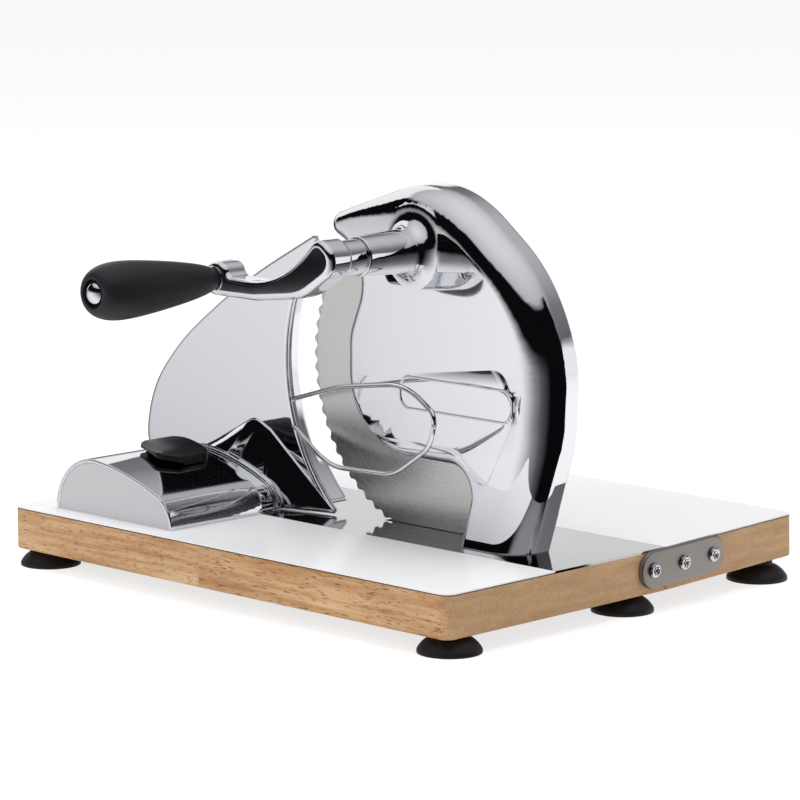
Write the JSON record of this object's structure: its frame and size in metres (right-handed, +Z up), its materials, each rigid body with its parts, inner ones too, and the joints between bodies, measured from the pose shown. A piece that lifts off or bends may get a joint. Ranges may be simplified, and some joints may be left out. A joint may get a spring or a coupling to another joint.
{
  "type": "hand-cranked bread slicer",
  "caption": "Hand-cranked bread slicer: round wavy blade in a chrome casting on a jointed wooden board, with crank, thickness stop and slice guard.",
  "frame": {"origin": "on the table plane, under the middle of the slicer's outline with its crank and grip", "axes": "+Z up, +X along the long side of the board towards the housing's foot, +Y away from the crank"},
  "size_m": [0.3189, 0.3186, 0.205],
  "materials": {
    "wood": "oiled light hardwood",
    "white_laminate": "glossy white laminate",
    "polished_steel": "mirror polished steel sheet",
    "satin_steel": "satin",
    "grey_plastic": "satin",
    "plain_steel": "plain",
    "chrome_casting": "bright chrome on castings",
    "chrome_trim": "bright chrome",
    "cast_alloy": "as cast",
    "bronze": "plain bearing bronze",
    "black_rubber": "matte",
    "black_grip": "matte",
    "black_plastic": "satin"
  },
  "bodies": {
    "base": {"front_board": "wood", "front_top_sheet": "white_laminate", "steel_strip": "polished_steel", "rear_board": "wood", "rear_top_sheet": "white_laminate", "splice_plate_right": "satin_steel", "splice_plate_left": "satin_steel", "splice_screws_right": "plain_steel", "splice_screws_left": "plain_steel", "foot_front_right": "black_rubber", "foot_front_left": "black_rubber", "foot_middle_right": "black_rubber", "foot_middle_left": "black_rubber", "foot_rear_right": "black_rubber", "foot_rear_left": "black_rubber", "foot_screws": "plain_steel", "blade_housing": "chrome_casting", "housing_screws": "plain_steel", "gear_cover": "satin_steel", "cover_screws": "plain_steel", "crank_bush_front": "bronze", "crank_bush_rear": "bronze", "blade_axle": "plain_steel", "axle_cap": "plain_steel", "axle_screw": "plain_steel", "drum_cover": "chrome_casting", "drum_end_plate": "grey_plastic", "rod_support": "cast_alloy", "guide_rods": "plain_steel", "support_screws": "plain_steel", "lever_pin": "plain_steel", "lever_spring": "plain_steel"},
    "blade_unit": {"blade_gear": "plain_steel", "blade": "satin_steel", "blade_screws": "plain_steel"},
    "crank_unit": {"crank_gear": "plain_steel", "crank_shaft": "plain_steel", "crank_arm": "chrome_casting", "crank_grub_screw": "plain_steel", "grip_pin": "plain_steel", "grip_washer": "chrome_trim", "dome_nut": "chrome_trim"},
    "grip": {"grip": "black_grip"},
    "adjuster": {"slide_tube": "chrome_casting", "guide_carriage": "cast_alloy", "ring_flange": "chrome_casting", "plate_bracket": "chrome_casting", "stop_plate": "chrome_casting", "plate_screws": "plain_steel", "wire_guard": "chrome_trim"},
    "lock_lever": {"lock_lever": "black_plastic"}
  },
  "joints": [
    {"name": "blade_turn", "type": "hinge", "parent": "base", "child": "blade_unit", "pos_m": [0.046, 0.0101, 0.1115], "axis": [0, 1, 0], "continuous": true},
    {"name": "crank_turn", "type": "hinge", "parent": "base", "child": "crank_unit", "pos_m": [0.052, -0.0699, 0.17421], "axis": [0, 1, 0], "continuous": true},
    {"name": "grip_spin", "type": "hinge", "parent": "crank_unit", "child": "grip", "pos_m": [-0.0207, -0.1199, 0.1595], "axis": [0, 1, 0], "continuous": true},
    {"name": "plate_slide", "type": "slide", "parent": "base", "child": "adjuster", "axis": [0, 1, 0], "range_m": [-0.0095, 0.0028]},
    {"name": "lever_rock", "type": "hinge", "parent": "base", "child": "lock_lever", "pos_m": [-0.096, -0.0399, 0.047], "axis": [1, 0, 0], "range_deg": [0, 4], "stiffness_Nm_per_rad": 0.4, "springref_deg": -5.73}
  ],
  "couplings": [
    {"joint": "crank_turn", "follows": "blade_turn", "ratio": -1.4}
  ]
}
